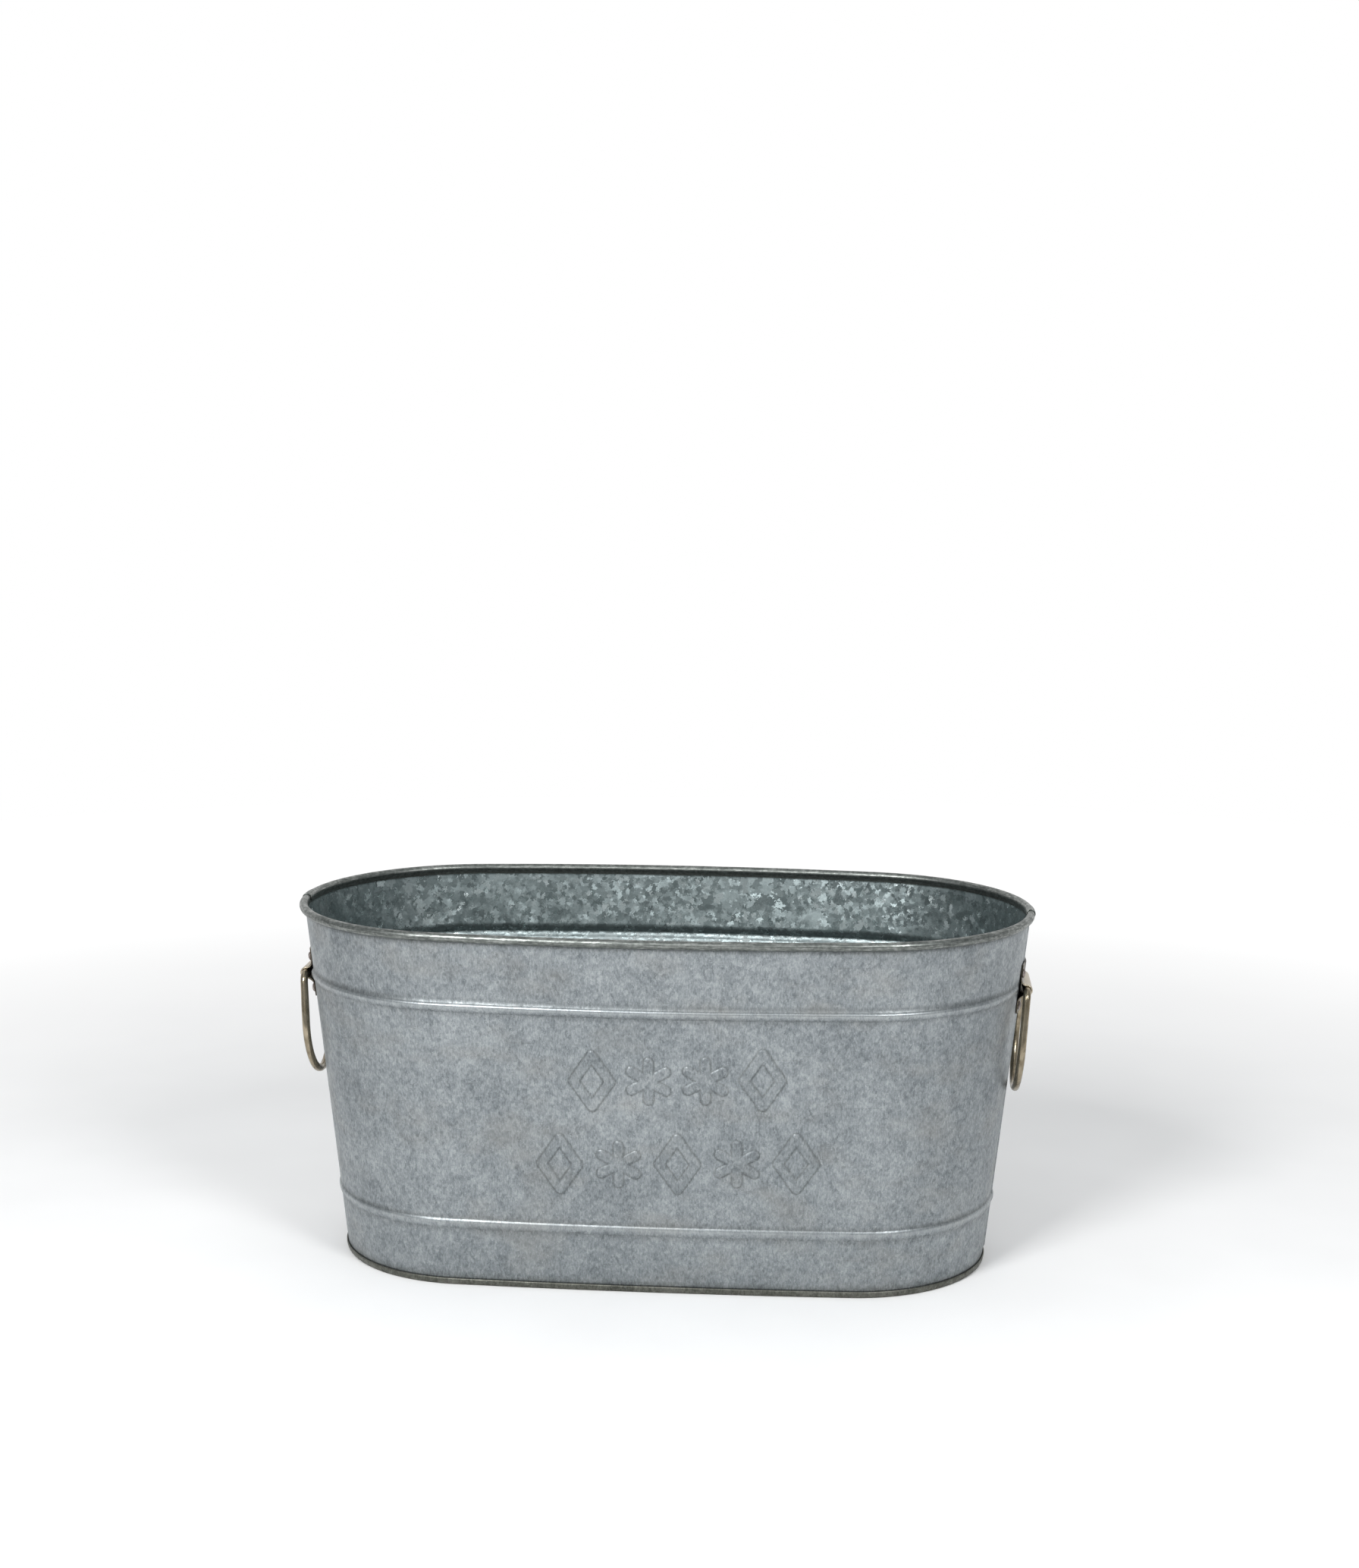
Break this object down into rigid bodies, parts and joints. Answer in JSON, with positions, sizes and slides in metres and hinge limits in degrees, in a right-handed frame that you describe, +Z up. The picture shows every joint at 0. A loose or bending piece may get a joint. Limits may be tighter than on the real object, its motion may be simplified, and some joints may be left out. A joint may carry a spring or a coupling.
{
  "type": "oval metal tub",
  "caption": "Oval galvanised steel tub with pressed beads, a wired rolled rim, a seamed-in base and a swinging ring handle at each rounded end.",
  "frame": {"origin": "centre of the foot print, on the ground", "axes": "+X along the long axis toward the right-hand handle, +Y to the back, +Z up"},
  "size_m": [0.5598, 0.2924, 0.2729],
  "materials": {
    "galvanised_sheet": "hot-dip galvanised, dull mottled grey",
    "galvanised_base": "hot-dip galvanised, dull mottled grey",
    "rim_wire_steel": "galvanised wire",
    "bracket_strap": "dark nickel plate",
    "ring_plating": "warm nickel plate, semi-bright",
    "rivet_steel": "plain steel rivet"
  },
  "bodies": {
    "tub": {"front_shell": "galvanised_sheet", "back_shell": "galvanised_sheet", "base_pan": "galvanised_base", "rim_wire": "rim_wire_steel", "left_handle_bracket": "bracket_strap", "right_handle_bracket": "bracket_strap", "left_rivet_upper_front": "rivet_steel", "left_rivet_lower_front": "rivet_steel", "left_rivet_upper_back": "rivet_steel", "left_rivet_lower_back": "rivet_steel", "right_rivet_upper_front": "rivet_steel", "right_rivet_lower_front": "rivet_steel", "right_rivet_upper_back": "rivet_steel", "right_rivet_lower_back": "rivet_steel"},
    "left_ring": {"left_handle_ring": "ring_plating"},
    "right_ring": {"right_handle_ring": "ring_plating"}
  },
  "joints": [
    {"name": "left_handle_swing", "type": "hinge", "parent": "tub", "child": "left_ring", "pos_m": [-0.27409, 0, 0.215], "axis": [0, 1, 0], "range_deg": [-1.2, 175]},
    {"name": "right_handle_swing", "type": "hinge", "parent": "tub", "child": "right_ring", "pos_m": [0.27409, 0, 0.215], "axis": [0, -1, 0], "range_deg": [-1.2, 175]}
  ]
}
